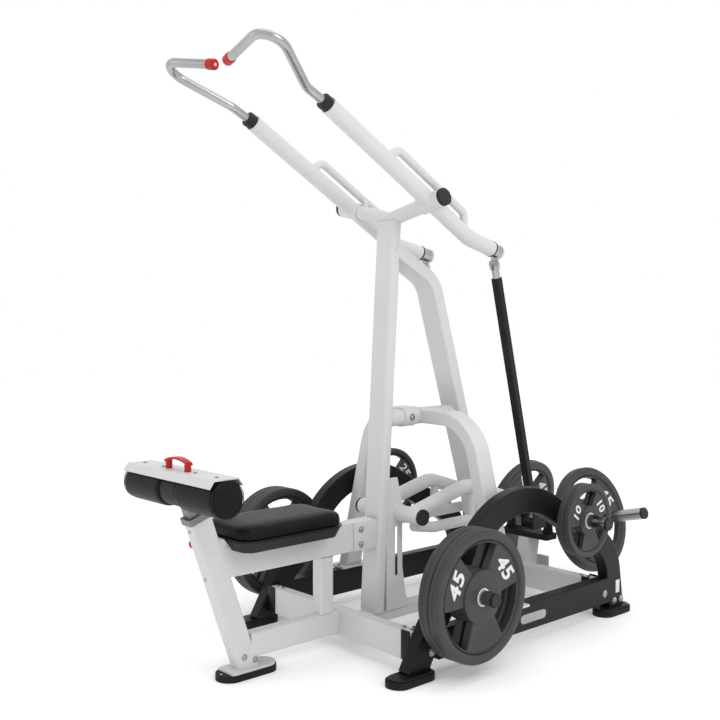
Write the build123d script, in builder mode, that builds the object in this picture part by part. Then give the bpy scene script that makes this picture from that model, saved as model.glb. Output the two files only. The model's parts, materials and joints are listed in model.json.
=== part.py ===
from build123d import *
import os
from math import cos, radians, sin, tan

# Plate-loaded lat pulldown machine with two independent arms, in millimetres.
# The user faces the front: +Y points to the rear, +X to the machine's right, +Z up.
# The origin is on the floor, under the front post's foot.

os.makedirs("parts", exist_ok=True)

# ---- driving dimensions -------------------------------------------------------------
SIDES = (("right", 1), ("left", -1))
running_gap = 0.06  # radial clearance of a turning fit
part_gap = 0.5  # space between pieces that move past each other

rubber_height = 22.0
foot_plate_height = 8.0
foot_size = (230.0, 100.0)
foot_centre_y = 75.0
foot_plate_front_y = -10.0

post_base = (0, 80, 0)
post_top = (0, -114, 551)
post_section = (50.0, 80.0)
post_wall = 4.0
slide_clearance = 0.4  # all round the telescoping post
pin_height = 454.0
pin_radius = 5.0

beam_section = (50.0, 110.0)
beam_z = 400.0
seat_centre_y = 200.0
seat_size = (260.0, 440.0)
seat_pan_height = 35.0
seat_pan_overlap = 17.0  # how far the pan's skirt hangs down over the beam
seat_top_z = 530.0

base_section = (50.0, 84.0)
base_z = 100.0
cross_y = 492.0
cross_section = (49.0, 100.0)
cross_z = 97.0
cross_half_length = 389.0
rear_cross_y = 1520.0
rear_base_section = (80.0, 40.0)
rear_base_z = 80.0
rear_base_end_y = 1668.0

upright_base = (0, 657, 117)
upright_top = (0, 743, 1544)
upright_section = (96.0, 46.0)

lower_pivot = (0, 757, 463)
lower_shaft_radius = 12.0
lower_hub_radius = 31.0
arm_tube_x = 100.0
arm_tube_radius = 28.0

arm_x = 207.0
hub_tilt = radians(13)
hub_point = (arm_x, 752, 1616)
hub_radius = 33.0
hub_shaft_radius = 14.0
crossbar_radius = 27.0
arm_radius = 30.0

rod_top = (186, 1131, 1408)
rod_bottom = (160, 1420, 378)
rod_section = 33.0

side_x = 415.0
side_width = 50.0
side_band = 94.0
front_horn = (620, 278)
rear_horn = (1261, 440)
horn_radius = 24.5
horn_reach_x = 625.0
bore_radius = 25.4

# outer radius, thickness, inner and outer radius of the grip openings
plate_45 = (225.0, 44.0, 96.0, 172.0)
plate_25 = (167.5, 36.0, 76.0, 128.0)
plate_10 = (137.5, 26.0, 64.0, 105.0)


# ---- shared shapes ------------------------------------------------------------------
def save(piece, label):
    """Labels one finished piece and writes it to its own file."""
    piece.part.label = label
    export_step(piece.part, f"parts/{label}.step")


def between(start, end):
    """The vector from one point to another."""
    return Vector(*end) - Vector(*start)


def straight_bar(start, end, width, depth, corner=8.0):
    """A bar of rounded rectangular section, its width along X."""
    axis = between(start, end)
    with BuildPart() as bar:
        with BuildSketch(Plane(origin=start, x_dir=(1, 0, 0), z_dir=axis)):
            RectangleRounded(width, depth, corner)
        extrude(amount=axis.length)
    return bar.part


def round_bar(start, end, radius):
    """A round bar between two points."""
    axis = between(start, end)
    with BuildPart() as bar:
        with BuildSketch(Plane(origin=start, z_dir=axis)):
            Circle(radius)
        extrude(amount=axis.length)
    return bar.part


def bent_bar(points, bend, width, depth, across=(1, 0, 0), corner=8.0):
    """A bar of rounded rectangular section along a route with rounded corners."""
    with BuildPart() as bar:
        with BuildLine():
            FilletPolyline(*points, radius=bend)
        with BuildSketch(Plane(origin=points[0], x_dir=across, z_dir=between(*points[:2]))):
            RectangleRounded(width, depth, corner)
        sweep()
    return bar.part


def bent_tube(points, bend, radius):
    """A round bar along a route with rounded corners."""
    with BuildPart() as bar:
        with BuildLine():
            FilletPolyline(*points, radius=bend)
        with BuildSketch(Plane(origin=points[0], z_dir=between(*points[:2]))):
            Circle(radius)
        sweep()
    return bar.part


def block(low, high):
    """A box between its lowest and highest corners."""
    size = between(low, high)
    with BuildPart() as box:
        with Locations(Vector(*low) + size * 0.5):
            Box(size.X, size.Y, size.Z)
    return box.part


def lobed_cap(start, axis, radius, height):
    """A round knob with shallow notches round its rim."""
    with BuildPart() as cap:
        with BuildSketch(Plane(origin=start, z_dir=axis)):
            Circle(radius)
            with PolarLocations(radius + 2.5, 10):
                Circle(4, mode=Mode.SUBTRACT)
        extrude(amount=height)
    return cap.part


def hex_bolts(places, axis, radius=7.0, height=6.0):
    """Hexagon bolt heads at several places."""
    with BuildPart() as bolts:
        for place in places:
            with BuildSketch(Plane(origin=place, z_dir=axis)):
                RegularPolygon(radius, 6)
            extrude(amount=height)
    return bolts.part


def slot_pad(centre, size, bottom, height):
    """A flat pad with round ends, its length along Y."""
    with BuildPart() as pad:
        with BuildSketch(Plane.XY.offset(bottom)):
            with Locations(centre):
                SlotOverall(size[0], size[1], rotation=90)
        extrude(amount=height)
    return pad.part


def weight_plate(centre, axis, spec):
    """A weight plate: thick rim, thinner web with three grip openings, and a boss with its bore."""
    radius, thickness, grip_inner, grip_outer = spec
    half = thickness / 2
    rim_inner = radius * 0.84
    boss_radius = grip_inner
    web_half = half * 0.62
    face = Plane(origin=centre, x_dir=(0, 1, 0), z_dir=axis)
    with BuildPart() as plate:
        with BuildSketch(face.offset(-half)):
            Circle(radius)
        extrude(amount=thickness)
        chamfer(plate.edges().filter_by(GeomType.CIRCLE), half * 0.3)
        for side in (1, -1):
            with BuildSketch(face.offset(side * half)):
                Circle(rim_inner)
                Circle(boss_radius, mode=Mode.SUBTRACT)
            extrude(amount=-side * (half - web_half), mode=Mode.SUBTRACT)
        with BuildSketch(face.offset(-half)):
            Circle(grip_outer)
            Circle(grip_inner, mode=Mode.SUBTRACT)
            with PolarLocations(0, 3, start_angle=30):
                with Locations((radius, 0)):
                    Rectangle(2 * radius, radius * 0.72, mode=Mode.SUBTRACT)
        extrude(amount=thickness, mode=Mode.SUBTRACT)
        with BuildSketch(face.offset(-half)):
            Circle(bore_radius)
        extrude(amount=thickness, mode=Mode.SUBTRACT)
    return plate.part


def mirrored(point, sign):
    """The same point on the machine's right (1) or left (-1)."""
    return (sign * point[0], point[1], point[2])


# ---- front post, feet and seat ------------------------------------------------------
post_axis = between(post_base, post_top)
post_lean = post_axis.normalized()
post_front = Vector(0, -post_lean.Z, post_lean.Y)
post_plane = Plane(origin=post_base, x_dir=(1, 0, 0), z_dir=post_axis)
inner_section = (post_section[0] - 2 * post_wall, post_section[1] - 2 * post_wall)
slider_section = (inner_section[0] - 2 * slide_clearance, inner_section[1] - 2 * slide_clearance)
post_foot_z = rubber_height + foot_plate_height
pin_out = Vector(-1, 0, 0)  # the pin stands on the post's left face
pin_barrel = 32.0

with BuildPart() as foot_plate:
    plate_size = (foot_size[0] - 8, foot_size[1] - 8)
    add(slot_pad((0, foot_centre_y), plate_size, rubber_height, foot_plate_height))
    split(bisect_by=Plane(origin=(0, foot_plate_front_y, 0), z_dir=(0, 1, 0)), keep=Keep.TOP)
save(foot_plate, "foot_plate")

slider_bottom = 330.0
with BuildPart() as front_post:
    with BuildSketch(post_plane.offset(-40)):
        RectangleRounded(*post_section, 8)
    extrude(amount=post_axis.length + 40)
    with BuildSketch(post_plane.offset(slider_bottom - 130)):
        RectangleRounded(*inner_section, 4)
    extrude(amount=post_axis.length, mode=Mode.SUBTRACT)
    split(bisect_by=Plane.XY.offset(post_foot_z), keep=Keep.TOP)
    pin_centre = Vector(*post_base) + post_lean * (pin_height / post_lean.Z)
    pin_face = pin_centre + pin_out * (post_section[0] / 2)
    with BuildSketch(Plane(origin=pin_face, z_dir=pin_out)):
        RegularPolygon(13, 6)
    extrude(amount=pin_barrel)
    with BuildSketch(Plane(origin=pin_centre, z_dir=pin_out)):
        Circle(pin_radius + running_gap)
    extrude(amount=post_section[0] + pin_barrel, mode=Mode.SUBTRACT)
save(front_post, "front_post")

collar_height = 22.0
with BuildPart() as post_collar:
    with BuildSketch(post_plane.offset(post_axis.length)):
        RectangleRounded(post_section[0] + 12, post_section[1] + 12, 8)
        RectangleRounded(inner_section[0], inner_section[1], 4, mode=Mode.SUBTRACT)
    extrude(amount=collar_height)
save(post_collar, "post_collar")

slider_top = 690.0
with BuildPart() as thigh_post:
    with BuildSketch(post_plane.offset(slider_bottom)):
        RectangleRounded(*slider_section, 4)
    extrude(amount=slider_top - slider_bottom)
    for step in range(5):
        hole_centre = pin_centre - post_lean * 25 * step
        with BuildSketch(Plane(origin=hole_centre, z_dir=pin_out)):
            Circle(pin_radius + part_gap)
        extrude(amount=post_section[0], mode=Mode.SUBTRACT)
    roller_centre = (0, -175, 657)
    core_radius = 54.0
    add(round_bar((-50, *roller_centre[1:]), (50, *roller_centre[1:]), core_radius), mode=Mode.SUBTRACT)
    split(bisect_by=Plane.XY.offset(716), keep=Keep.BOTTOM)
save(thigh_post, "thigh_post")

roller_radius = 63.0
roller_inner_x = 42.0
roller_outer_x = 262.0
cover_top_z = 720.0
cover_thickness = 4.0
spindle_radius = 20.0
cover_under = block((-300, -300, cover_top_z - cover_thickness - 0.5), (300, 0, 800))
with BuildPart() as roller_core:
    add(round_bar((-40, *roller_centre[1:]), (40, *roller_centre[1:]), core_radius))
    spindle_x = roller_outer_x - 12
    add(round_bar((-spindle_x, *roller_centre[1:]), (spindle_x, *roller_centre[1:]), spindle_radius))
    add(cover_under, mode=Mode.SUBTRACT)
save(roller_core, "roller_core")

with BuildPart() as thigh_rollers:
    for sign in (1, -1):
        inner = (sign * roller_inner_x, *roller_centre[1:])
        outer = (sign * roller_outer_x, *roller_centre[1:])
        add(round_bar(inner, outer, roller_radius))
    fillet(thigh_rollers.edges().filter_by(GeomType.CIRCLE), 6)
    for sign in (1, -1):
        inner = (sign * roller_inner_x, *roller_centre[1:])
        spindle_end = (sign * (roller_outer_x - 11), *roller_centre[1:])
        add(round_bar(inner, spindle_end, spindle_radius + 1), mode=Mode.SUBTRACT)
    add(cover_under, mode=Mode.SUBTRACT)
save(thigh_rollers, "thigh_rollers")

with BuildPart() as thigh_cover:
    with BuildSketch(Plane.YZ.offset(-253)):
        with BuildLine():
            Polyline((-239, 696), (-222, cover_top_z), (-130, cover_top_z), (-113, 696))
            offset(amount=-cover_thickness, side=Side.RIGHT)
        make_face()
    extrude(amount=506)
save(thigh_cover, "thigh_cover")

handle_y = -185.0
with BuildPart() as thigh_handle:
    for x in (-55, 55):
        add(round_bar((x, handle_y, cover_top_z), (x, handle_y, cover_top_z + 32), 11))
    with BuildSketch(Plane.XZ.offset(-handle_y - 11)):
        with BuildLine():
            ThreePointArc((-66, 748), (0, 762), (66, 748))
            Line((66, 748), (66, 740))
            ThreePointArc((66, 740), (0, 754), (-66, 740))
            Line((-66, 740), (-66, 748))
        make_face()
    extrude(amount=22)
save(thigh_handle, "thigh_handle")

with BuildPart() as pull_pin:
    tip = pin_face - pin_out * (post_wall - 0.5)
    knob_start = pin_face + pin_out * (pin_barrel + 2)
    add(round_bar(tip, knob_start + pin_out * 8, pin_radius))
    with BuildSketch(Plane(origin=knob_start, z_dir=pin_out)):
        Circle(17)
    extrude(amount=28)
    fillet(pull_pin.edges().filter_by(GeomType.CIRCLE).group_by(SortBy.RADIUS)[-1], 7)
save(pull_pin, "pull_pin")

with BuildPart() as seat_beam:
    add(straight_bar((0, -60, beam_z), (0, 640, beam_z), beam_section[0], beam_section[1]))
    gusset_outline = [(-60, 450), (-60, 478), (-28, 478), (-6, 450)]
    with BuildSketch(Plane.YZ.offset(-beam_section[0] / 2 + 2)):
        Polygon(*gusset_outline, align=None)
    extrude(amount=beam_section[0] - 4)
    add(straight_bar((0, 80, 0), post_top, *post_section), mode=Mode.SUBTRACT)
    add(straight_bar(upright_base, upright_top, *upright_section, 15), mode=Mode.SUBTRACT)
    split(bisect_by=Plane(origin=(0, 640, 0), z_dir=(0, 1, 0)), keep=Keep.BOTTOM)
save(seat_beam, "seat_beam")

seat_bottom_z = beam_z + beam_section[1] / 2 - seat_pan_overlap
with BuildPart() as seat_pan:
    with BuildSketch(Plane.XY.offset(seat_bottom_z)):
        with Locations((0, seat_centre_y)):
            RectangleRounded(seat_size[0] - 40, seat_size[1] - 40, 38)
    extrude(amount=seat_pan_height, taper=-28)
    add(seat_beam.part, mode=Mode.SUBTRACT)
save(seat_pan, "seat_pan")

with BuildPart() as seat_cushion:
    cushion_bottom = seat_bottom_z + seat_pan_height + 0.3
    with BuildSketch(Plane.XY.offset(cushion_bottom)):
        with Locations((0, seat_centre_y)):
            RectangleRounded(*seat_size, 52)
    extrude(amount=seat_top_z - cushion_bottom)
    fillet(seat_cushion.edges().group_by(Axis.Z)[-1], 14)
save(seat_cushion, "seat_cushion")

# ---- base -----------------------------------------------------------------------------
with BuildPart() as base_tube_front:
    add(straight_bar((0, 60, base_z), (0, cross_y - cross_section[0] / 2, base_z), *base_section))
    add(straight_bar((0, 80, 0), post_top, *post_section), mode=Mode.SUBTRACT)
    split(bisect_by=Plane(origin=(0, 80, 0), z_dir=(0, 1, 0)), keep=Keep.TOP)
save(base_tube_front, "base_tube_front")

with BuildPart() as seat_post:
    seat_post_low = (0, 415, base_z + base_section[1] / 2)
    add(straight_bar(seat_post_low, (0, 415, beam_z - beam_section[1] / 2), 50, 60))
save(seat_post, "seat_post")

rear_base_tube = straight_bar(
    (0, cross_y + cross_section[0] / 2, rear_base_z), (0, rear_base_end_y, rear_base_z), *rear_base_section
)
with BuildPart() as cross_members:
    for y in (cross_y, rear_cross_y):
        with BuildSketch(Plane.YZ.offset(-cross_half_length)):
            with Locations((y, cross_z)):
                RectangleRounded(*cross_section, 7)
        extrude(amount=2 * cross_half_length)
    add(rear_base_tube, mode=Mode.SUBTRACT)
save(cross_members, "cross_members")

flange_top_z = 108.0
with BuildPart() as base_tube_rear:
    add(rear_base_tube)
    add(block((-50, rear_base_end_y, 50), (50, rear_base_end_y + 8, 150)))
    add(block((-110, 516.5, 100), (110, 560, flange_top_z)))
save(base_tube_rear, "base_tube_rear")

arch_foot_x = 428.0
arch_y = 925.0
arch_foot_top = 158.0
with BuildPart() as base_bolts:
    bolt_top = cross_z + cross_section[1] / 2
    for y in (cross_y + 5, rear_cross_y - 5):
        for x in (-370, -333, 333, 370):
            add(hex_bolts([(x, y, bolt_top)], (0, 0, 1), radius=8))
            add(hex_bolts([(x, y, bolt_top - cross_section[1])], (0, 0, -1), radius=8, height=9))
    centre_bolts = [(x, 538, flange_top_z) for x in (-95, -58, 58, 95)]
    add(hex_bolts(centre_bolts, (0, 0, 1)))
    arch_bolts = [(x, arch_y + dy, arch_foot_top) for x in (-arch_foot_x, arch_foot_x) for dy in (-60, 60)]
    add(hex_bolts(arch_bolts, (0, 0, 1)))
save(base_bolts, "base_bolts")

# ---- upright, rear leg and braces -----------------------------------------------------
base_top_z = rear_base_z + rear_base_section[1] / 2
crossbar_end = Vector(*hub_point) - Vector(cos(hub_tilt), 0, sin(hub_tilt)) * 42
crossbar_z = crossbar_end.Z - crossbar_end.X * tan(hub_tilt)
crossbar_centre = (0, hub_point[1], crossbar_z)
shaft_start = -70.0
hub_axis_right = Vector(cos(hub_tilt), 0, sin(hub_tilt))

with BuildPart() as crossbar:
    with Locations(crossbar_centre):
        Sphere(crossbar_radius)
    for side, sign in SIDES:
        hub_axis = Vector(sign * hub_axis_right.X, 0, hub_axis_right.Z)
        point = Vector(*mirrored(hub_point, sign))
        add(round_bar(crossbar_centre, point - hub_axis * 42, crossbar_radius))
    for side, sign in SIDES:
        hub_axis = Vector(sign * hub_axis_right.X, 0, hub_axis_right.Z)
        point = Vector(*mirrored(hub_point, sign))
        add(round_bar(point + hub_axis * shaft_start, point, hub_shaft_radius), mode=Mode.SUBTRACT)
save(crossbar, "crossbar")

with BuildPart() as upright:
    upright_axis = between(upright_base, upright_top)
    upright_foot = Vector(*upright_base) - upright_axis.normalized() * 60
    upright_head = Vector(*upright_top) + upright_axis.normalized() * 30
    add(straight_bar(upright_foot, upright_head, *upright_section, 15))
    split(bisect_by=Plane.XY.offset(base_top_z), keep=Keep.TOP)
    add(crossbar.part, mode=Mode.SUBTRACT)
    split(bisect_by=Plane.XY.offset(1562), keep=Keep.BOTTOM)
    add(round_bar((-100, *lower_pivot[1:]), (100, *lower_pivot[1:]), lower_shaft_radius), mode=Mode.SUBTRACT)
save(upright, "upright")

upright_bar = straight_bar(upright_foot, upright_head, *upright_section, 15)
leg_route = [(0, 735, 1460), (0, 952, 1340), (0, 1345, 80)]
with BuildPart() as rear_leg:
    add(bent_bar(leg_route, 120, 100, 50))
    add(upright_bar, mode=Mode.SUBTRACT)
    split(bisect_by=Plane.XY.offset(base_top_z), keep=Keep.TOP)
save(rear_leg, "rear_leg")

tie_z = 820.0
tie_radius = 32.0
with BuildPart() as brace_tube:
    add(round_bar((0, 690, tie_z), (0, 1110, tie_z), tie_radius))
    add(round_bar((0, 800, tie_z), (0, 862, tie_z), tie_radius + 5))
    add(upright_bar, mode=Mode.SUBTRACT)
    add(rear_leg.part, mode=Mode.SUBTRACT)
    split(bisect_by=Plane(origin=(0, 715, 0), z_dir=(0, 1, 0)), keep=Keep.TOP)
save(brace_tube, "brace_tube")

arch_route = [(-arch_foot_x, 150), (-256, 820), (256, 820), (arch_foot_x, 150)]
with BuildPart() as arch_brace:
    points = [(x, arch_y, z) for x, z in arch_route]
    add(bent_bar(points, 170, 80, 55, across=(0, 1, 0)))
    for x in (-arch_foot_x, arch_foot_x):
        add(block((x - 45, arch_y - 75, 130), (x + 45, arch_y + 75, arch_foot_top)))
    split(bisect_by=Plane.XY.offset(150), keep=Keep.TOP)
    add(round_bar((0, 690, tie_z), (0, 1110, tie_z), tie_radius), mode=Mode.SUBTRACT)
save(arch_brace, "arch_brace")

plate_inner_x = 38.0
plate_thickness = 6.0
spacer_outer = plate_inner_x + plate_thickness + 10
plate_outline = [(660, 100), (665, 600), (745, 600), (772, 500), (772, 260), (790, 150), (812, 100)]
with BuildPart() as pivot_plates:
    for sign in (1, -1):
        with BuildSketch(Plane.YZ.offset(sign * plate_inner_x)):
            Polygon(*plate_outline, align=None)
            with Locations(lower_pivot[1:]):
                Circle(36)
            with Locations((742, 320)):
                SlotOverall(190, 17, rotation=90, mode=Mode.SUBTRACT)
        extrude(amount=sign * plate_thickness)
        spacer_end = (sign * spacer_outer, *lower_pivot[1:])
        add(round_bar((sign * plate_inner_x, *lower_pivot[1:]), spacer_end, lower_hub_radius + 3))
    add(upright_bar, mode=Mode.SUBTRACT)
    split(bisect_by=Plane(origin=(0, 690, 0), z_dir=(0, 1, 0)), keep=Keep.TOP)
    add(round_bar((-100, *lower_pivot[1:]), (100, *lower_pivot[1:]), lower_shaft_radius), mode=Mode.SUBTRACT)
save(pivot_plates, "pivot_plates")

lower_shaft_half = 158.0
hub_outer_offset = 58.0
with BuildPart() as pivot_shafts:
    shaft_ends = [(sign * lower_shaft_half, *lower_pivot[1:]) for sign in (-1, 1)]
    add(round_bar(*shaft_ends, lower_shaft_radius))
    for side, sign in SIDES:
        hub_axis = Vector(sign * hub_axis_right.X, 0, hub_axis_right.Z)
        point = Vector(*mirrored(hub_point, sign))
        shaft_end = point + hub_axis * (hub_outer_offset - 2)
        add(round_bar(point + hub_axis * shaft_start, shaft_end, hub_shaft_radius))
save(pivot_shafts, "pivot_shafts")

stop_lean = ((0, 1568, 100), (0, 1600, 250))
with BuildPart() as stop_post:
    add(straight_bar((0, 1560, 60), stop_lean[1], 50, 95))
    split(bisect_by=Plane.XY.offset(base_top_z), keep=Keep.TOP)
    split(bisect_by=Plane.XY.offset(245), keep=Keep.BOTTOM)
    rear_cross_block = block((-60, rear_cross_y - 40, 0), (60, rear_cross_y + cross_section[0] / 2, 147))
    add(rear_cross_block, mode=Mode.SUBTRACT)
save(stop_post, "stop_post")

bumper_top_z = 331.0
with BuildPart() as stop_bracket:
    add(block((-122, 1562, 245), (122, 1638, 270)))
    fillet(stop_bracket.edges().filter_by(Axis.Z), 10)
save(stop_bracket, "stop_bracket")

with BuildPart() as stop_bumpers:
    with Locations((-arm_tube_x, 1600, 270), (arm_tube_x, 1600, 270)):
        Cone(22, 17, bumper_top_z - 270, align=(Align.CENTER, Align.CENTER, Align.MIN))
save(stop_bumpers, "stop_bumpers")

# ---- side frames, storage horns -------------------------------------------------------
side_route = [(448, 10), (532, 150), (933, 624), (1575, 265), (1614, 10)]
side_bends = [60, 335, 200]
with BuildPart() as side_arches:
    for sign in (1, -1):
        points = [(sign * side_x, y, z) for y, z in side_route]
        add(bent_bar(points, side_bends, side_width, side_band, corner=6))
    split(bisect_by=Plane.XY.offset(rubber_height), keep=Keep.TOP)
save(side_arches, "side_arches")

with BuildPart() as side_beams:
    for sign in (1, -1):
        beam_ends = [(sign * side_x, y, 98) for y in (560, 1560)]
        add(straight_bar(*beam_ends, side_width, 104, 6))
    add(side_arches.part, mode=Mode.SUBTRACT)
save(side_beams, "side_beams")

foot_y = (430.0, 1592.0)
side_foot_size = (196.0, 90.0)
with BuildPart() as rubber_feet:
    add(slot_pad((0, foot_centre_y), foot_size, 0, rubber_height))
    for sign in (1, -1):
        for y in foot_y:
            add(slot_pad((sign * (side_x + 12), y), side_foot_size, 0, rubber_height))
save(rubber_feet, "rubber_feet")

outer_x = side_x + side_width / 2
with BuildPart() as storage_horns:
    for sign in (1, -1):
        for y, z in (front_horn, rear_horn):
            start = (sign * outer_x, y, z)
            add(round_bar(start, (sign * horn_reach_x, y, z), horn_radius))
            add(round_bar(start, (sign * (outer_x + 12), y, z), 38))
save(storage_horns, "storage_horns")

with BuildPart() as horn_caps:
    for sign in (1, -1):
        for y, z in (front_horn, rear_horn):
            add(lobed_cap((sign * horn_reach_x, y, z), (sign, 0, 0), horn_radius - 0.3, 10))
save(horn_caps, "horn_caps")

# ---- upper arms, one per side -----------------------------------------------------------
arm_route = [(arm_x, 267, 1896), (arm_x, 957, 1498), (190, 1110, 1464)]
arm_run = between(arm_route[0], arm_route[1]).normalized()
arm_normal = Vector(0, -arm_run.Z, arm_run.Y)
spindle_run = between(arm_route[1], arm_route[2]).normalized()
bar_start = Vector(*arm_route[0]) + arm_run * 295
bar_end = Vector(*arm_route[0]) + arm_run * 765
bar_lift = 65.0
bar_radius = 15.0
handle_radius = 15.5
arm_spindle_radius = 16.0
swivel_length = 40.0
handle_route = [arm_route[0], (arm_x, 174, 1941), (346, -71.5, 2082), (60, -17, 2030)]
rod_line = between(rod_top, rod_bottom)
rod_run = rod_line.normalized()
clevis_pin_radius = 6.0

for side, sign in SIDES:
    hub_axis = Vector(sign * hub_axis_right.X, 0, hub_axis_right.Z)
    hub_centre = Vector(*mirrored(hub_point, sign))
    hub_inner = hub_centre - hub_axis * 41.5
    hub_outer = hub_centre + hub_axis * hub_outer_offset
    route = [mirrored(point, sign) for point in arm_route]
    run = Vector(sign * spindle_run.X, spindle_run.Y, spindle_run.Z)
    tip = Vector(*route[-1])

    with BuildPart() as upper_arm:
        add(bent_tube(route, 130, arm_radius))
        add(round_bar(hub_inner, hub_outer, hub_radius))
        lift = arm_normal * bar_lift
        slope = arm_run * 38
        bar_route = [bar_start, bar_start + lift + slope, bar_end + lift - slope, bar_end]
        bar_route = [mirrored(tuple(point), sign) for point in bar_route]
        add(bent_tube(bar_route, 32, bar_radius))
        disc_start = tip + run * (swivel_length + 2)
        add(round_bar(tip, disc_start, arm_spindle_radius))
        add(round_bar(disc_start, disc_start + run * 9, 27))
        add(round_bar(hub_inner, hub_outer, hub_shaft_radius + running_gap), mode=Mode.SUBTRACT)
    save(upper_arm, f"upper_arm_{side}")

    handle_points = [mirrored(point, sign) for point in handle_route]
    with BuildPart() as pull_handle:
        add(bent_tube(handle_points, [60, 62], handle_radius))
        add(upper_arm.part, mode=Mode.SUBTRACT)
    save(pull_handle, f"pull_handle_{side}")

    with BuildPart() as arm_caps:
        collar_run = between(handle_points[0], handle_points[1]).normalized()
        collar_start = Vector(*handle_points[0])
        add(round_bar(collar_start, collar_start + collar_run * 30, 27))
        fillet(arm_caps.edges().filter_by(GeomType.CIRCLE), 4)
        add(pull_handle.part, mode=Mode.SUBTRACT)
        add(upper_arm.part, mode=Mode.SUBTRACT)
        add(lobed_cap(hub_outer, hub_axis, hub_radius - 1, 14))
    save(arm_caps, f"arm_caps_{side}")

    with BuildPart() as handle_cap:
        cap_run = between(handle_points[2], handle_points[3]).normalized()
        cap_start = Vector(*handle_points[3]) - cap_run * 6
        add(round_bar(cap_start, cap_start + cap_run * 34, handle_radius + 3))
        fillet(handle_cap.edges().filter_by(GeomType.CIRCLE), 4)
        add(pull_handle.part, mode=Mode.SUBTRACT)
    save(handle_cap, f"handle_cap_{side}")

    # The swivel turns on the arm's end spindle and carries the rod's upper pivot.
    with BuildPart() as swivel:
        swivel_start = tip + run * 1
        swivel_end = tip + run * (swivel_length + 1)
        pivot = mirrored(rod_top, sign)
        add(round_bar(swivel_start, swivel_end, 27.5))
        lug_low = (pivot[0] - 6, pivot[1] - 13, pivot[2])
        lug_high = (pivot[0] + 6, pivot[1] + 13, 1452)
        add(block(lug_low, lug_high))
        add(round_bar((pivot[0] - 6, *pivot[1:]), (pivot[0] + 6, *pivot[1:]), 13))
        add(round_bar(swivel_start, swivel_end, arm_spindle_radius + running_gap), mode=Mode.SUBTRACT)
        bolt_ends = ((pivot[0] - 25, *pivot[1:]), (pivot[0] + 25, *pivot[1:]))
        add(round_bar(*bolt_ends, clevis_pin_radius + running_gap), mode=Mode.SUBTRACT)
    save(swivel, f"swivel_{side}")

    line = Vector(sign * rod_run.X, rod_run.Y, rod_run.Z)
    rod_plane = Plane(origin=pivot, x_dir=(1, 0, 0), z_dir=line)
    rod_length = rod_line.length
    with BuildPart() as rod_ends:
        with BuildSketch(rod_plane.offset(-14)):
            with Locations((-10.5, 0), (10.5, 0)):
                RectangleRounded(8, 26, 2)
        extrude(amount=36)
        with BuildSketch(rod_plane.offset(22)):
            Circle(15)
        extrude(amount=34)
        add(round_bar((pivot[0] - 16, *pivot[1:]), (pivot[0] + 16, *pivot[1:]), clevis_pin_radius))
        for end in (-1, 1):
            add(hex_bolts([(pivot[0] + end * 14.4, *pivot[1:])], (end, 0, 0), radius=10))
        lower = mirrored(rod_bottom, sign)
        with BuildSketch(rod_plane.offset(rod_length - 60)):
            Circle(9)
        extrude(amount=60)
        add(round_bar((lower[0] - 9, *lower[1:]), (lower[0] + 9, *lower[1:]), 17))
        add(round_bar((lower[0] - 11, *lower[1:]), (lower[0] + 11, *lower[1:]), 8))
    save(rod_ends, f"rod_ends_{side}")

    with BuildPart() as connecting_rod:
        with BuildSketch(rod_plane.offset(56)):
            RectangleRounded(rod_section, rod_section, 6)
        extrude(amount=rod_length - 116)
    save(connecting_rod, f"connecting_rod_{side}")

# ---- weight arms, one per side ------------------------------------------------------------
arm_bend = (arm_tube_x, 1070, 540)
arm_rear = (arm_tube_x, 1800, 303)
work_horn_base = Vector(arm_tube_x + 20, 1785, 303)
work_horn_run = Vector(0.345, -0.012, 0.085).normalized()
work_horn_length = 345.0
hub_start_x = spacer_outer + part_gap
hub_end_x = 160.0

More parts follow.
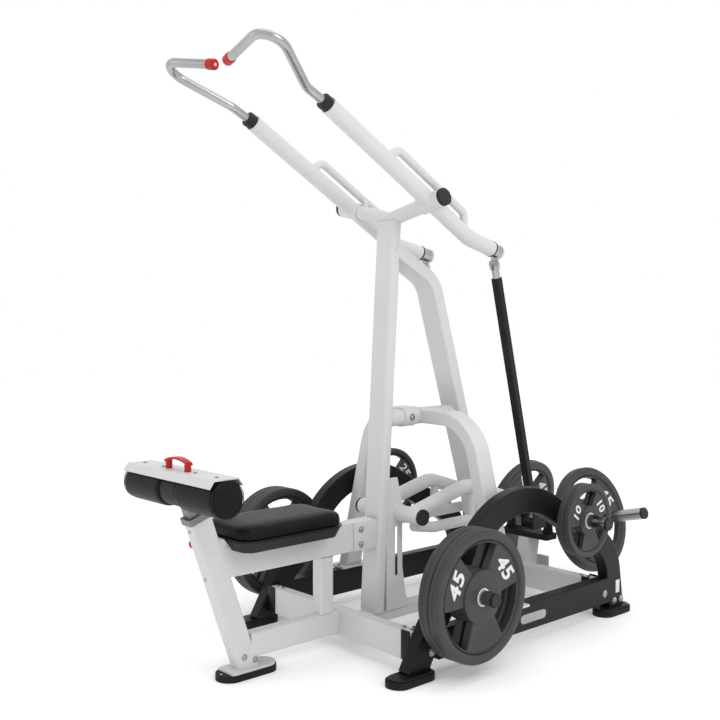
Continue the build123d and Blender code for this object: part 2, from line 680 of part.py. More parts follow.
for side, sign in SIDES:
    hub_start = (sign * hub_start_x, *lower_pivot[1:])
    hub_end = (sign * hub_end_x, *lower_pivot[1:])
    tube_hub = (sign * arm_tube_x, *lower_pivot[1:])
    horn_run = Vector(sign * work_horn_run.X, work_horn_run.Y, work_horn_run.Z)
    horn_base = Vector(*mirrored(tuple(work_horn_base), sign))
    horn_end = horn_base + horn_run * work_horn_length
    horn = round_bar(horn_base, horn_end, horn_radius)

    with BuildPart() as weight_arm:
        add(round_bar(hub_start, hub_end, lower_hub_radius))
        add(bent_tube([tube_hub, mirrored(arm_bend, sign), mirrored(arm_rear, sign)], 120, arm_tube_radius))
        lower_start = (sign * arm_tube_x, 775, 420)
        lower_route = [lower_start, (sign * arm_tube_x, 880, 400), (sign * arm_tube_x, 1455, 405)]
        add(bent_tube(lower_route, 150, 21))
        add(round_bar((sign * arm_tube_x, 1100, 405), (sign * arm_tube_x, 1100, 525), 17))
        bore_start = (sign * (hub_start_x - 5), *lower_pivot[1:])
        bore_end = (sign * (hub_end_x + 5), *lower_pivot[1:])
        add(round_bar(bore_start, bore_end, lower_shaft_radius + running_gap), mode=Mode.SUBTRACT)
        add(horn, mode=Mode.SUBTRACT)
    save(weight_arm, f"weight_arm_{side}")

    with BuildPart() as rod_bracket:
        low_x, high_x = sorted((sign * 128, sign * 193))
        add(block((low_x, 1380, 332), (high_x, 1462, 412)))
        gap_low, gap_high = sorted((sign * 133, sign * 188))
        add(block((gap_low, 1370, 338), (gap_high, 1470, 420)), mode=Mode.SUBTRACT)
        add(weight_arm.part, mode=Mode.SUBTRACT)
    save(rod_bracket, f"rod_bracket_{side}")

    with BuildPart() as weight_horn:
        add(horn)
        add(round_bar(horn_base + horn_run * 38, horn_base + horn_run * 50, 45))
    save(weight_horn, f"weight_horn_{side}")

    with BuildPart() as weight_arm_caps:
        add(lobed_cap(hub_end, (sign, 0, 0), lower_hub_radius - 1, 12))
        add(lobed_cap(horn_end, horn_run, horn_radius - 0.3, 10))
    save(weight_arm_caps, f"weight_arm_caps_{side}")

    with BuildPart() as work_plate:
        plate_centre = horn_base + horn_run * (50 + 1 + plate_45[1] / 2)
        add(weight_plate(plate_centre, horn_run, plate_45))
    save(work_plate, f"work_plate_{side}")

# ---- stored weight plates -------------------------------------------------------------------
# name, side, horn place, plate, outer faces
stored = [
    ("front_plates_right", 1, front_horn, plate_45, (580, 535)),
    ("front_plates_left", -1, front_horn, plate_45, (580, 535)),
    ("rear_plates_right", 1, rear_horn, plate_10, (550, 523)),
    ("rear_plate_left", -1, rear_horn, plate_25, (550,)),
]
for label, sign, (y, z), spec, outer_faces in stored:
    with BuildPart() as stored_plates:
        for outer_face in outer_faces:
            stored_x = sign * (outer_face - spec[1] / 2)
            add(weight_plate((stored_x, y, z), (sign, 0, 0), spec))
    save(stored_plates, label)
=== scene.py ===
import bmesh
import bpy
import json
import math
from mathutils import Euler, Matrix, Vector


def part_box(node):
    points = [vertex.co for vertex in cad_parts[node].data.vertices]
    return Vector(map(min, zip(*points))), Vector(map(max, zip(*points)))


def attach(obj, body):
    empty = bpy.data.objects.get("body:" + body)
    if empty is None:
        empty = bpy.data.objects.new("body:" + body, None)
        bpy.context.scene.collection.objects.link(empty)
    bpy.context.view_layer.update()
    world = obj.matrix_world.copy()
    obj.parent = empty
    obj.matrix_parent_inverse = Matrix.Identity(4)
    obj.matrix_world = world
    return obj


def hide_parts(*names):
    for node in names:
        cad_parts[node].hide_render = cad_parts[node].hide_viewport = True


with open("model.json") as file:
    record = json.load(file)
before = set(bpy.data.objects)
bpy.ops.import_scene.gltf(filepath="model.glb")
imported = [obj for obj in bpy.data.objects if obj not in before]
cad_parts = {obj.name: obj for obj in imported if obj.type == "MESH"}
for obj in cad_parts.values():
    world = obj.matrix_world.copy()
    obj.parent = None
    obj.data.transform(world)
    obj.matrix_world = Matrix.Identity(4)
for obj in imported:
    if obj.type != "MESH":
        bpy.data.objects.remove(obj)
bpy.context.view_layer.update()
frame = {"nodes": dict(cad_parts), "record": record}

# Lat pulldown machine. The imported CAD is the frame; this script adds the finish and the detailed pieces.
# Metres, +X the machine's right, +Y its rear, +Z up, origin on the floor under the front post.
SIDES = (("right", 1), ("left", -1))
WASHER_THICKNESS = 0.0022


# ---- materials ----------------------------------------------------------------------

def new_material(name):
    """A node material, with its nodes, links and shader to hand."""
    material = bpy.data.materials.new(name)
    material.use_nodes = True
    nodes = material.node_tree.nodes
    shader = nodes["Principled BSDF"]
    return material, nodes, material.node_tree.links, shader


def noise(nodes, links, coords, scale, detail=4.0):
    """A noise value from 0 to 1."""
    texture = nodes.new("ShaderNodeTexNoise")
    texture.inputs["Scale"].default_value = scale
    texture.inputs["Detail"].default_value = detail
    texture.inputs["Roughness"].default_value = 0.55
    links.new(coords, texture.inputs["Vector"])
    return texture.outputs["Fac"]


def ramp(nodes, links, value, low, high):
    """Blends two colours by a slow noise value."""
    blend = nodes.new("ShaderNodeValToRGB")
    blend.color_ramp.elements[0].position = 0.3
    blend.color_ramp.elements[1].position = 0.7
    blend.color_ramp.elements[0].color = (*low, 1)
    blend.color_ramp.elements[1].color = (*high, 1)
    links.new(value, blend.inputs["Fac"])
    return blend.outputs["Color"]


def grey(value):
    return (value, value, value)


def finish(name, low, high, rough, rough_spread=0.06, metallic=0.0, colour_scale=6.0,
           grain_scale=900.0, grain=0.05, stretch=(1, 1, 1), specular=0.5):
    """A surface with slow colour variation, uneven roughness and a fine relief."""
    material, nodes, links, shader = new_material(name)
    place = nodes.new("ShaderNodeTexCoord")
    mapping = nodes.new("ShaderNodeMapping")
    mapping.inputs["Scale"].default_value = stretch
    links.new(place.outputs["Object"], mapping.inputs["Vector"])
    coords = mapping.outputs["Vector"]
    slow = noise(nodes, links, place.outputs["Object"], colour_scale)
    links.new(ramp(nodes, links, slow, low, high), shader.inputs["Base Color"])
    uneven = noise(nodes, links, coords, colour_scale * 5)
    span = nodes.new("ShaderNodeMapRange")
    span.inputs["To Min"].default_value = rough - rough_spread
    span.inputs["To Max"].default_value = rough + rough_spread
    links.new(uneven, span.inputs["Value"])
    links.new(span.outputs["Result"], shader.inputs["Roughness"])
    fine = noise(nodes, links, coords, grain_scale, 2.0)
    bump = nodes.new("ShaderNodeBump")
    bump.inputs["Strength"].default_value = grain
    bump.inputs["Distance"].default_value = 0.0003
    links.new(fine, bump.inputs["Height"])
    links.new(bump.outputs["Normal"], shader.inputs["Normal"])
    shader.inputs["Metallic"].default_value = metallic
    shader.inputs["Specular IOR Level"].default_value = specular
    return material


def vinyl(name):
    """Black upholstery vinyl with a pebbled grain."""
    material, nodes, links, shader = new_material(name)
    place = nodes.new("ShaderNodeTexCoord").outputs["Object"]
    slow = noise(nodes, links, place, 9)
    links.new(ramp(nodes, links, slow, grey(0.003), grey(0.006)), shader.inputs["Base Color"])
    shader.inputs["Specular IOR Level"].default_value = 0.14
    pebble = nodes.new("ShaderNodeTexVoronoi")
    pebble.inputs["Scale"].default_value = 520
    links.new(place, pebble.inputs["Vector"])
    bump = nodes.new("ShaderNodeBump")
    bump.inputs["Strength"].default_value = 0.22
    bump.inputs["Distance"].default_value = 0.0005
    links.new(pebble.outputs["Distance"], bump.inputs["Height"])
    links.new(bump.outputs["Normal"], shader.inputs["Normal"])
    span = nodes.new("ShaderNodeMapRange")
    span.inputs["To Min"].default_value = 0.36
    span.inputs["To Max"].default_value = 0.50
    links.new(noise(nodes, links, place, 60), span.inputs["Value"])
    links.new(span.outputs["Result"], shader.inputs["Roughness"])
    return material


M = {
    "frame_white": finish("powder_white", grey(0.57), grey(0.605), 0.45, grain=0.03, grain_scale=350,
                          specular=0.35),
    "frame_black": finish("powder_black", grey(0.005), grey(0.010), 0.40, grain=0.04, grain_scale=400,
                          specular=0.20),
    "chrome": finish("polished_chrome", grey(0.34), grey(0.42), 0.20, 0.04, 1.0, grain=0.004, grain_scale=200),
    "zinc": finish("zinc_plate", grey(0.34), grey(0.50), 0.30, 0.08, 1.0, colour_scale=30, grain=0.06),
    "black_plastic": finish("black_plastic", grey(0.008), grey(0.015), 0.48, grain=0.2, grain_scale=600, specular=0.3),
    "red_plastic": finish("red_plastic", (0.36, 0.006, 0.008), (0.46, 0.010, 0.012), 0.30, specular=0.3),
    "rubber": finish("black_rubber", grey(0.006), grey(0.011), 0.62, grain=0.25, grain_scale=400, specular=0.2),
    "stainless": finish("brushed_stainless", grey(0.32), grey(0.44), 0.24, 0.05, 1.0, grain=0.10,
                        grain_scale=260, stretch=(1, 8, 8)),
    "upholstery": vinyl("black_vinyl"),
    "plate_urethane": finish("grey_urethane", grey(0.028), grey(0.042), 0.46, grain=0.15, grain_scale=700, specular=0.35),
}
paint_white = finish("number_paint", grey(0.62), grey(0.70), 0.50, grain=0.1)
pad_core = finish("dark_foam_sleeve", grey(0.012), grey(0.020), 0.55, grain=0.3, grain_scale=500, specular=0.2)
grey_steel = finish("grey_steel", grey(0.15), grey(0.21), 0.36, 0.06, 0.8, grain=0.06)
seam_cord = finish("piping_cord", grey(0.008), grey(0.014), 0.40, grain=0.3, grain_scale=800, specular=0.2)

slot_of = {part["node"]: part["material_slot"] for part in frame["record"]["subparts"]}
for node, node_object in frame["nodes"].items():
    node_object.data.materials.clear()
    node_object.data.materials.append(M[slot_of[node]])
for node, material in (("roller_core", pad_core), ("thigh_post", grey_steel), ("post_collar", grey_steel)):
    frame["nodes"][node].data.materials[0] = material


# ---- mesh helpers -------------------------------------------------------------------

def piece(name, bm, material, body, smooth=35.0):
    """Turns a bmesh into a piece that rides on a body."""
    bmesh.ops.recalc_face_normals(bm, faces=bm.faces)
    mesh = bpy.data.meshes.new(name)
    bm.to_mesh(mesh)
    bm.free()
    mesh.materials.append(material)
    made = bpy.data.objects.new(name, mesh)
    bpy.context.scene.collection.objects.link(made)
    mesh.shade_smooth()
    mesh.set_sharp_from_angle(angle=math.radians(smooth))
    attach(made, body)
    return made


def frame_at(origin, axis, up=(0, 0, 1)):
    """A placement with local Z along axis and local Y near up."""
    z = Vector(axis).normalized()
    x = Vector(up).cross(z)
    if x.length < 1e-6:
        x = Vector((1, 0, 0))
    x.normalize()
    y = z.cross(x)
    placed = Matrix((x, y, z)).transposed().to_4x4()
    placed.translation = Vector(origin)
    return placed


def lathe(bm, profile, placement, steps=64, closed=True):
    """Revolves (radius, height) points about local Z."""
    rings = []
    for i in range(steps):
        a = 2 * math.pi * i / steps
        around = [Vector((r * math.cos(a), r * math.sin(a), h)) for r, h in profile]
        rings.append([bm.verts.new(placement @ point) for point in around])
    count = len(profile)
    for i in range(steps):
        this, after = rings[i], rings[(i + 1) % steps]
        for k in range(count if closed else count - 1):
            j = (k + 1) % count
            bm.faces.new((this[k], this[j], after[j], after[k]))
    if not closed:
        bm.faces.new([ring[0] for ring in rings])
        bm.faces.new([ring[-1] for ring in reversed(rings)])


def disc(bm, radius, height, placement, bevel, steps=48):
    """A closed round piece with a rounded top edge."""
    profile = [(radius, 0.0)]
    for k in range(5):
        a = math.pi / 2 * k / 4
        profile.append((radius - bevel + bevel * math.cos(a), height - bevel + bevel * math.sin(a)))
    lathe(bm, profile, placement, steps, closed=False)


def prism(bm, outline, low, high, placement, bevel=0.0):
    """A closed straight piece over a flat outline, with chamfered top edges."""
    centre = sum((Vector(p) for p in outline), Vector((0, 0))) / len(outline)
    levels = [(low, 0.0), (high - bevel, 0.0), (high, bevel)] if bevel else [(low, 0.0), (high, 0.0)]
    rings = []
    for height, inset in levels:
        ring = []
        for p in outline:
            away = Vector(p) - centre
            moved = centre + away * (1 - inset / max(away.length, 1e-6))
            ring.append(bm.verts.new(placement @ Vector((moved.x, moved.y, height))))
        rings.append(ring)
    for lower, upper in zip(rings, rings[1:]):
        for i in range(len(outline)):
            j = (i + 1) % len(outline)
            bm.faces.new((lower[i], lower[j], upper[j], upper[i]))
    bm.faces.new(list(reversed(rings[0])))
    bm.faces.new(rings[-1])


def ring_profile(inner, outer, half, round_by, steps=5):
    """A rounded rectangle in (radius, height), for a ring."""
    points = []
    corners = ((outer - round_by, half - round_by, 0), (inner + round_by, half - round_by, 90),
               (inner + round_by, -half + round_by, 180), (outer - round_by, -half + round_by, 270))
    for r, h, start in corners:
        for k in range(steps):
            a = math.radians(start + 90 * k / (steps - 1))
            points.append((r + round_by * math.cos(a), h + round_by * math.sin(a)))
    return points


def text_mesh(name, words, size, depth, placement, material, body):
    """Raised digits, flat on local XY, slightly slanted."""
    curve = bpy.data.curves.new(name, "FONT")
    curve.body = words
    curve.size = size
    curve.extrude = depth
    curve.offset = size * 0.028
    curve.shear = 0.18
    curve.space_character = 1.08
    curve.align_x = "CENTER"
    curve.align_y = "CENTER"
    made = bpy.data.objects.new(name, curve)
    bpy.context.scene.collection.objects.link(made)
    mesh = bpy.data.meshes.new_from_object(made)
    bpy.data.objects.remove(made)
    mesh.transform(placement @ Matrix.Diagonal((1.15, 1, 1, 1)))
    mesh.materials.clear()
    mesh.materials.append(material)
    made = bpy.data.objects.new(name, mesh)
    bpy.context.scene.collection.objects.link(made)
    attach(made, body)
    return made


def rounded_outline(half_x, half_y, corner, steps=10):
    """A rectangle with round corners, as points in order."""
    points = []
    for cx, cy, start in ((1, 1, 0), (-1, 1, 90), (-1, -1, 180), (1, -1, 270)):
        for k in range(steps + 1):
            a = math.radians(start + 90 * k / steps)
            x = cx * (half_x - corner) + corner * math.cos(a)
            y = cy * (half_y - corner) + corner * math.sin(a)
            points.append((x, y))
    return points


def slot_outline(centre, length, width, steps=12):
    """A flat outline with round ends, its length along Y."""
    radius = width / 2
    points = []
    for end, start in ((1, 0), (-1, 180)):
        for k in range(steps + 1):
            a = math.radians(start + 180 * k / steps)
            y = end * (length / 2 - radius) + radius * math.sin(a)
            points.append((centre[0] + radius * math.cos(a), centre[1] + y))
    return points


def cord(name, points, radius, body):
    """A round seam cord along a closed loop, as a mesh."""
    curve = bpy.data.curves.new(name, "CURVE")
    curve.dimensions = "3D"
    curve.bevel_depth = radius
    curve.bevel_resolution = 2
    curve.use_fill_caps = True
    spline = curve.splines.new("POLY")
    spline.points.add(len(points) - 1)
    for target, point in zip(spline.points, points):
        target.co = (*point, 1)
    spline.use_cyclic_u = True
    made = bpy.data.objects.new(name, curve)
    bpy.context.scene.collection.objects.link(made)
    mesh = bpy.data.meshes.new_from_object(made)
    bpy.data.objects.remove(made)
    mesh.materials.clear()
    mesh.materials.append(seam_cord)
    mesh.shade_smooth()
    made = bpy.data.objects.new(name, mesh)
    bpy.context.scene.collection.objects.link(made)
    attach(made, body)


def button_screw(name, place, axis, radius, height, body, material=None, washer=0.0):
    """A dome-head socket screw, on a washer if one is asked for."""
    bm = bmesh.new()
    placement = frame_at(place, axis, (0, 0.2, 1))
    if washer:
        disc(bm, washer, WASHER_THICKNESS, placement, 0.0006, 32)
        placement = placement @ Matrix.Translation((0, 0, WASHER_THICKNESS))
    profile = [(radius, 0.0)]
    for k in range(1, 6):
        a = math.pi / 2 * k / 6
        profile.append((radius * math.cos(a * 0.85), height * math.sin(a)))
    socket = radius * 0.32
    profile += [(radius * 0.34, height * 0.97), (socket, height * 0.35), (0.0001, height * 0.35)]
    lathe(bm, profile, placement, 24, closed=False)
    piece(name, bm, material or M["zinc"], body)


def box_piece(name, low, high, material, body, bevel=0.002):
    """A plate or block with bevelled edges."""
    bm = bmesh.new()
    bmesh.ops.create_cube(bm, size=1.0)
    middle = (Vector(low) + Vector(high)) / 2
    size = Vector(high) - Vector(low)
    for vertex in bm.verts:
        vertex.co = middle + vertex.co * size
    bmesh.ops.bevel(bm, geom=bm.edges[:], offset=bevel, segments=3, profile=0.5, affect="EDGES")
    return piece(name, bm, material, body)


# ---- weight plates --------------------------------------------------------------------
BORE = 0.0254
SECTOR_TURN = 36  # degrees from the front-to-rear line to the first raised sector

HALF_TURN = Matrix.Rotation(math.pi, 4, "Y")


def plate(name, number, centre, axis, radius, thickness, body, replaced):
    """A grip plate: rounded rim, three raised sectors, boss, steel ring and numbers on both faces."""
    half = thickness / 2
    rim_in = radius * 0.80
    boss = radius * 0.41
    sector_height = half * 0.72
    placement = frame_at(centre, axis)
    bm = bmesh.new()
    rim = [(rim_in, -half * 0.55), (rim_in, half * 0.55), (rim_in + radius * 0.03, half * 0.80)]
    arc = ring_profile(radius * 0.84, radius, half, half * 0.42, 6)
    in_turn = sorted(arc, key=lambda p: math.atan2(p[1], p[0] - radius * 0.9), reverse=True)
    rim += [p for p in in_turn if p[1] > 0]
    groove = radius - half * 0.10
    rim += [(radius, half * 0.20), (groove, half * 0.12), (groove, -half * 0.12), (radius, -half * 0.20)]
    rim += [p for p in in_turn if p[1] < 0]
    rim += [(rim_in + radius * 0.03, -half * 0.80)]
    lathe(bm, rim, placement, 96)
    lathe(bm, ring_profile(BORE, boss, half * 0.96, half * 0.16), placement, 72)
    for spoke in range(3):
        turn = math.radians(SECTOR_TURN + 120 * spoke)
        outline = []
        for k in range(9):
            a = turn - math.radians(37) + math.radians(74) * k / 8
            outline.append((boss * 0.96 * math.cos(a), boss * 0.96 * math.sin(a)))
        for k in range(9):
            a = turn + math.radians(30) - math.radians(60) * k / 8
            outline.append(((rim_in + 0.004) * math.cos(a), (rim_in + 0.004) * math.sin(a)))
        mirrored_outline = [(-x, y) for x, y in outline]
        prism(bm, outline, 0, sector_height, placement, half * 0.14)
        prism(bm, mirrored_outline, 0, sector_height, placement @ HALF_TURN, half * 0.14)
    made = piece(f"{name}_disc", bm, M["plate_urethane"], body)
    if replaced:
        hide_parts(replaced)
    bm = bmesh.new()
    lathe(bm, ring_profile(BORE - 0.0002, BORE + 0.0052, half * 0.985, 0.0008, 3), placement, 64)
    piece(f"{name}_steel_ring", bm, paint_white, body)
    reach = radius * 0.61
    for face, turned in (("outer", Matrix.Identity(4)), ("inner", HALF_TURN)):
        for index, angle in enumerate((SECTOR_TURN, SECTOR_TURN + 120)):
            spin = Matrix.Rotation(math.radians(angle - 90), 4, "Z")
            local = Matrix.Translation((0, reach, sector_height))
            text_mesh(f"{name}_number_{face}_{index}", number, radius * 0.34, 0.0008,
                      placement @ turned @ spin @ local, paint_white, body)


def node_centre(node):
    """The middle of a CAD node's box."""
    low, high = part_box(node)
    return (low + high) / 2


# outer radius and thickness
PLATE_45 = (0.225, 0.044)
PLATE_25 = (0.1675, 0.036)
PLATE_10 = (0.1375, 0.026)
for side, sign in SIDES:
    node = f"front_plates_{side}"
    centre = node_centre(node)
    for index, shift in enumerate((0.0225, -0.0225)):
        place = centre + Vector((sign * shift, 0, 0))
        plate(f"front_plate_{side}_{index}", "45", place, (sign, 0, 0), *PLATE_45, node,
              node if index == 0 else None)
    node = f"work_plate_{side}"
    horn_axis = Vector((sign * 0.345, -0.012, 0.085)).normalized()
    plate(node, "45", node_centre(node), horn_axis, *PLATE_45, node, node)

centre = node_centre("rear_plates_right")
for index, shift in enumerate((0.0135, -0.0135)):
    place = centre + Vector((shift, 0, 0))
    plate(f"rear_plate_right_{index}", "10", place, (1, 0, 0), *PLATE_10, "rear_plates_right",
          "rear_plates_right" if index == 0 else None)
centre = node_centre("rear_plate_left")
plate("rear_plate_left", "25", centre, (-1, 0, 0), *PLATE_25, "rear_plate_left", "rear_plate_left")


# ---- soft goods -------------------------------------------------------------------------
PAD_PRESSURE = 4.0
CLOTH_FRAMES = 20


def bake(made):
    """Applies the object's modifiers to its mesh."""
    graph = bpy.context.evaluated_depsgraph_get()
    solved = bpy.data.meshes.new_from_object(made.evaluated_get(graph))
    made.modifiers.clear()
    made.data = solved


def puff(made, cap, pinned):
    """Inflates a closed pad with cloth and keeps every point within cap of where it began."""
    start = [v.co.copy() for v in made.data.vertices]
    group = made.vertex_groups.new(name="held")
    for vertex in made.data.vertices:
        if pinned(vertex.co):
            group.add([vertex.index], 1.0, "REPLACE")
    cloth = made.modifiers.new("cloth", "CLOTH")
    cloth.settings.use_pressure = True
    cloth.settings.uniform_pressure_force = PAD_PRESSURE
    cloth.settings.effector_weights.gravity = 0
    cloth.settings.vertex_group_mass = "held"
    cloth.settings.quality = 5
    cloth.point_cache.frame_start = 1
    cloth.point_cache.frame_end = CLOTH_FRAMES
    for step in range(1, CLOTH_FRAMES + 1):
        bpy.context.scene.frame_set(step)
    bake(made)
    for vertex, first in zip(made.data.vertices, start):
        moved = vertex.co - first
        if moved.length > cap:
            vertex.co = first + moved.normalized() * cap
    bpy.context.scene.frame_set(1)
    relax(made, 10)


def relax(made, rounds):
    """Evens out the small folds left by the cloth."""
    bm = bmesh.new()
    bm.from_mesh(made.data)
    for _ in range(rounds):
        bmesh.ops.smooth_vert(bm, verts=bm.verts, factor=0.5,
                              use_axis_x=True, use_axis_y=True, use_axis_z=True)
    bm.to_mesh(made.data)
    bm.free()


def remesh(made, size):
    """Gives the pad an even mesh of small squares."""
    modifier = made.modifiers.new("remesh", "REMESH")
    modifier.mode = "VOXEL"
    modifier.voxel_size = size
    bake(made)


def subdivide(made):
    """Smooths the pad once."""
    modifier = made.modifiers.new("smooth", "SUBSURF")
    modifier.levels = 1
    modifier.render_levels = 1
    bake(made)
    made.data.shade_smooth()


def stacked(bm, levels, centre):
    """Closed form from (half x, half y, corner, height) levels, bottom to top."""
    rings = []
    for half_x, half_y, corner, height in levels:
        ring = rounded_outline(half_x, half_y, corner)
        rings.append([bm.verts.new((centre.x + x, centre.y + y, height)) for x, y in ring])
    count = len(rings[0])
    for lower, upper in zip(rings, rings[1:]):
        for i in range(count):
            j = (i + 1) % count
            bm.faces.new((lower[i], lower[j], upper[j], upper[i]))
    bm.faces.new(list(reversed(rings[0])))
    bm.faces.new(rings[-1])


low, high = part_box("seat_cushion")
seat_centre = (low + high) / 2
half_x, half_y = (high.x - low.x) / 2, (high.y - low.y) / 2
bm = bmesh.new()
seat_rise = high.z - low.z
seat_levels = [
    (half_x - 0.010, half_y - 0.010, 0.045, low.z + 0.001),
    (half_x - 0.004, half_y - 0.004, 0.050, low.z + 0.006),
]
for k in range(8):
    a = math.pi / 2 * k / 7
    inset = 0.003 + 0.017 * (1 - math.cos(a))
    height = low.z + seat_rise - 0.024 + 0.019 * math.sin(a)
    seat_levels.append((half_x - inset, half_y - inset, 0.052 - inset * 0.4, height))
seat_levels.append((half_x - 0.060, half_y - 0.060, 0.030, low.z + seat_rise - 0.0025))
stacked(bm, seat_levels, seat_centre)
seat = piece("seat_upholstery", bm, M["upholstery"], "frame")
seat.parent = None
remesh(seat, 0.006)
seat.data.materials.append(M["upholstery"])
puff(seat, 0.003, lambda co: co.z < low.z + 0.006)
subdivide(seat)
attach(seat, "frame")
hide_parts("seat_cushion")


edge_line = rounded_outline(half_x - 0.0015, half_y - 0.0015, 0.051, 14)
piping = [(seat_centre.x + x, seat_centre.y + y, low.z + 0.004) for x, y in edge_line]
cord("seat_piping", piping, 0.0026, "frame")

low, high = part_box("thigh_rollers")
roller_axis = Vector((0, (low.y + high.y) / 2, low.z + 0.063))
roller_top = high.z - 0.0015
start_x, end_x = 0.0425, high.x
length = end_x - start_x
radius = 0.0615
edge = 0.012
seam_inset = 0.0035
for side, sign in SIDES:
    bm = bmesh.new()
    profile = [(0.022, 0.0)]
    for k in range(7):
        a = math.pi / 2 * k / 6
        profile.append((radius - edge + edge * math.sin(a), edge - edge * math.cos(a)))
    for k in range(7):
        a = math.pi / 2 * k / 6
        profile.append((radius - edge + edge * math.cos(a), length - edge + edge * math.sin(a)))
    profile.append((0.0, length))
    placement = frame_at((sign * start_x, roller_axis.y, roller_axis.z), (sign, 0, 0))
    lathe(bm, profile, placement, 72, closed=False)
    bmesh.ops.remove_doubles(bm, verts=bm.verts, dist=1e-5)
    roller = piece(f"thigh_roller_{side}", bm, M["upholstery"], "thigh_pad")
    roller.parent = None
    remesh(roller, 0.005)
    roller.data.materials.append(M["upholstery"])
    puff(roller, 0.002, lambda co: abs(co.x) < start_x + 0.004)
    for vertex in roller.data.vertices:
        vertex.co.z = min(vertex.co.z, roller_top)
    subdivide(roller)
    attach(roller, "thigh_pad")
    if side == "right":
        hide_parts("thigh_rollers")
    seam = []
    for k in range(64):
        a = 2 * math.pi * k / 64
        y = roller_axis.y + (radius - seam_inset) * math.cos(a)
        z = roller_axis.z + (radius - seam_inset) * math.sin(a)
        seam.append((sign * (end_x - seam_inset), y, min(z, roller_top - 0.001)))
    cord(f"roller_seam_{side}", seam, 0.0014, "thigh_pad")


# ---- fasteners and small fittings ---------------------------------------------------------
# Screw heads: radius, height.
COVER_SCREW = (0.0068, 0.0034)
FOOT_BOLT = (0.0075, 0.005)
BEAM_BOLT = (0.0085, 0.005)
SIDE_BOLT = (0.0095, 0.006)
SLEEVE_BOLT = (0.010, 0.006)
BEAM_FACE = 0.0252
BRACKET_FACE = 0.0312
SIDE_FACE = 0.4402
for index, x in enumerate((-0.2095, -0.093, 0.093, 0.2095)):
    button_screw(f"cover_screw_{index}", (x, -0.1815, 0.7198), (0, 0, 1), *COVER_SCREW, "thigh_pad", grey_steel)

post_axis = Vector((0, -0.194, 0.551)).normalized()
post_out = Vector((0, -post_axis.z, post_axis.y))
for side, sign in SIDES:
    out = (sign, 0, 0)
    for index, (y, z) in enumerate(((0.050, 0.068), (0.094, 0.052))):
        place = (sign * BEAM_FACE, y, z)
        button_screw(f"foot_bolt_{side}_{index}", place, out, *FOOT_BOLT, "frame", washer=0.011)
    for index, z in enumerate((0.370, 0.425)):
        place = (sign * BRACKET_FACE, 0.572, z)
        button_screw(f"seat_beam_bolt_{side}_{index}", place, out, *BEAM_BOLT, "frame", washer=0.012)
    for index, (y, z) in enumerate(((0.519, 0.083), (1.524, 0.091), (1.592, 0.050), (1.640, 0.050))):
        place = (sign * SIDE_FACE, y, z)
        button_screw(f"side_bolt_{side}_{index}", place, out, *SIDE_BOLT, "frame", washer=0.0145)
    place = (sign * 0.0365, 0.832, 0.820)
    button_screw(f"sleeve_bolt_{side}", place, out, *SLEEVE_BOLT, "frame", washer=0.014)
post_face = Vector((0, 0.080, 0)) + post_out * 0.0402
front_bolt = post_face + post_axis * 0.385
button_screw("post_front_bolt", front_bolt, post_out, 0.0065, 0.004, "frame")
top_bolt = post_face + post_axis * 0.560
button_screw("post_top_screw", top_bolt, post_out, 0.0055, 0.003, "frame")


for side, sign in SIDES:
    inner, outer = sorted((sign * BEAM_FACE, sign * BRACKET_FACE))
    box_piece(f"beam_bracket_{side}", (inner, 0.540, 0.347), (outer, 0.690, 0.453),
              M["frame_white"], "frame")
    for label, y in (("front", 0.492), ("rear", 1.520)):
        inner, outer = sorted((sign * 0.350, sign * 0.3895))
        for edge, (y_low, y_high) in (("a", (y - 0.031, y - 0.0247)), ("b", (y + 0.0247, y + 0.031))):
            box_piece(f"beam_end_{label}_{side}_{edge}", (inner, y_low, 0.050), (outer, y_high, 0.152),
                      M["frame_black"], "frame")

FOOT_X = 0.427
FOOT_Y = (0.430, 1.592)


def flat_pad(name, centre, size, low, high, bevel, slot):
    """A flat pad with round ends, its length along Y."""
    bm = bmesh.new()
    prism(bm, slot_outline(centre, *size), low, high, Matrix.Identity(4), bevel)
    piece(name, bm, M[slot], "frame")


for side, sign in SIDES:
    for index, y in enumerate(FOOT_Y):
        centre = (sign * FOOT_X, y)
        flat_pad(f"foot_flange_{side}_{index}", centre, (0.180, 0.076), 0.0215, 0.0285, 0.002, "frame_black")
        flat_pad(f"foot_boot_{side}_{index}", centre, (0.1965, 0.0905), 0.0005, 0.0225, 0.003, "rubber")
flat_pad("front_foot_boot", (0, 0.075), (0.2305, 0.1005), 0.0005, 0.0225, 0.003, "rubber")
button_screw("front_foot_screw", (0, -0.026, 0.0222), (0, 0, 1), 0.005, 0.0025, "frame")

# ---- blank badge and label on the side frames, and the stops beside the arms' hubs ------------
for side, sign in SIDES:
    bm = bmesh.new()
    badge = Matrix.Translation((sign * 0.440, 1.065, 0.092)) @ frame_at((0, 0, 0), (sign, 0, 0))
    outline = [(y, x) for x, y in slot_outline((0, 0), 0.150, 0.034)]
    prism(bm, outline, -0.0005, 0.0012, badge, 0.0004)
    piece(f"blank_badge_{side}", bm, M["stainless"], "frame")
    inner, outer = sorted((sign * 0.4395, sign * 0.4404))
    box_piece(f"blank_label_{side}", (inner, 1.602, 0.080), (outer, 1.628, 0.132),
              paint_white, "frame", 0.0002)
    bm = bmesh.new()
    disc(bm, 0.009, 0.036, frame_at((sign * 0.139, 0.752, 1.617), (0, 0, 1), (0, 1, 0)), 0.004, 32)
    piece(f"hub_stop_{side}", bm, M["frame_white"], "frame")

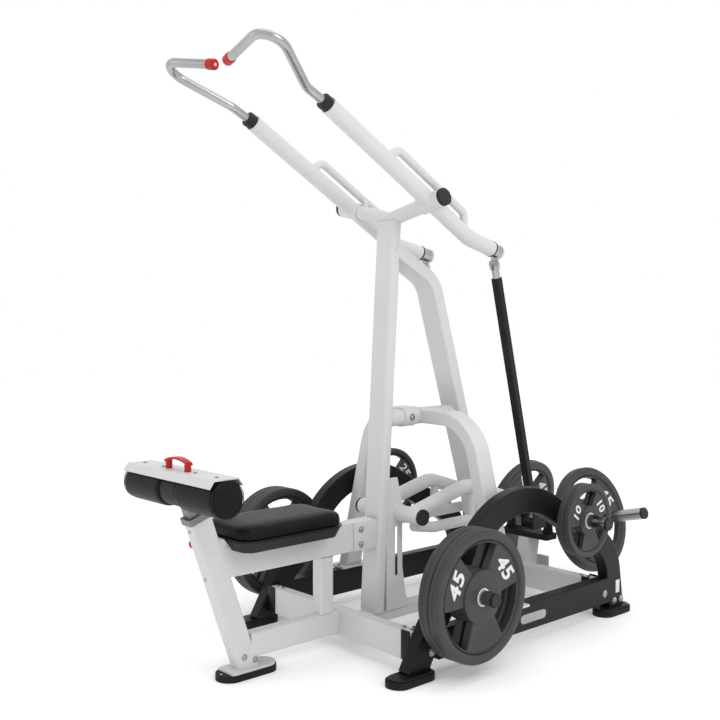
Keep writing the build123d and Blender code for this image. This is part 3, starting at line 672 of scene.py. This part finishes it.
# ---- red end caps' screws and the ring behind each swivel -----------------------------------
for side, sign in SIDES:
    cap_run = Vector((sign * -0.286, 0.0545, -0.052)).normalized()
    cap_end = Vector((sign * 0.060, -0.017, 2.030)) + cap_run * 0.0278
    button_screw(f"cap_screw_{side}", cap_end, cap_run, 0.0055, 0.0028, f"arm_{side}", paint_white)
    arm_run = Vector((sign * -0.017, 0.153, -0.034)).normalized()
    arm_tip = Vector((sign * 0.190, 1.110, 1.464))
    bm = bmesh.new()
    ring_place = frame_at(arm_tip - arm_run * 0.006, arm_run)
    lathe(bm, ring_profile(0.0285, 0.0312, 0.0035, 0.001, 3), ring_place, 48)
    piece(f"swivel_ring_{side}", bm, M["black_plastic"], f"arm_{side}")


def soft_light(name, place, target, size, power):
    light = bpy.data.lights.new(name, "AREA")
    light.shape = "DISK"
    light.size = size
    light.energy = power
    lamp = bpy.data.objects.new(name, light)
    lamp.location = place
    lamp.rotation_euler = (Vector(target) - Vector(place)).to_track_quat("-Z", "Y").to_euler()
    bpy.context.scene.collection.objects.link(lamp)


# ---- floor, light and camera ----------------------------------------------------------------
bm = bmesh.new()
bmesh.ops.create_grid(bm, x_segments=1, y_segments=1, size=14)
floor_mesh = bpy.data.meshes.new("floor")
bm.to_mesh(floor_mesh)
bm.free()
floor = bpy.data.objects.new("floor", floor_mesh)
floor_paint = finish("pale_floor", grey(0.93), grey(0.95), 0.9, grain=0.01, specular=0.1)
floor_shader = floor_paint.node_tree.nodes["Principled BSDF"]
floor_shader.inputs["Emission Color"].default_value = (1, 1, 1, 1)
floor_shader.inputs["Emission Strength"].default_value = 0.14
floor_mesh.materials.append(floor_paint)
bpy.context.scene.collection.objects.link(floor)

world = bpy.data.worlds.new("studio")
world.use_nodes = True
world.node_tree.nodes["Background"].inputs["Color"].default_value = (1, 1, 1, 1)
world.node_tree.nodes["Background"].inputs["Strength"].default_value = 1.0
bpy.context.scene.world = world


soft_light("key", (4.5, 0.2, 4.2), (0, 0.8, 0.8), 3.0, 60)
soft_light("fill", (-3.0, -3.5, 3.0), (0, 0.8, 0.8), 3.0, 8)
soft_light("top", (0, 0.8, 5.5), (0, 0.8, 0.5), 4.0, 30)

camera_data = bpy.data.cameras.new("camera")
camera_data.sensor_width = 36
camera_data.lens = 50.42
camera = bpy.data.objects.new("camera", camera_data)
camera.location = (2.739, -1.901, 1.214)
camera.rotation_euler = Euler((math.radians(90 - 2.61), 0, math.radians(47.66)))
bpy.context.scene.collection.objects.link(camera)
bpy.context.scene.camera = camera
bpy.context.scene.view_settings.view_transform = "Standard"
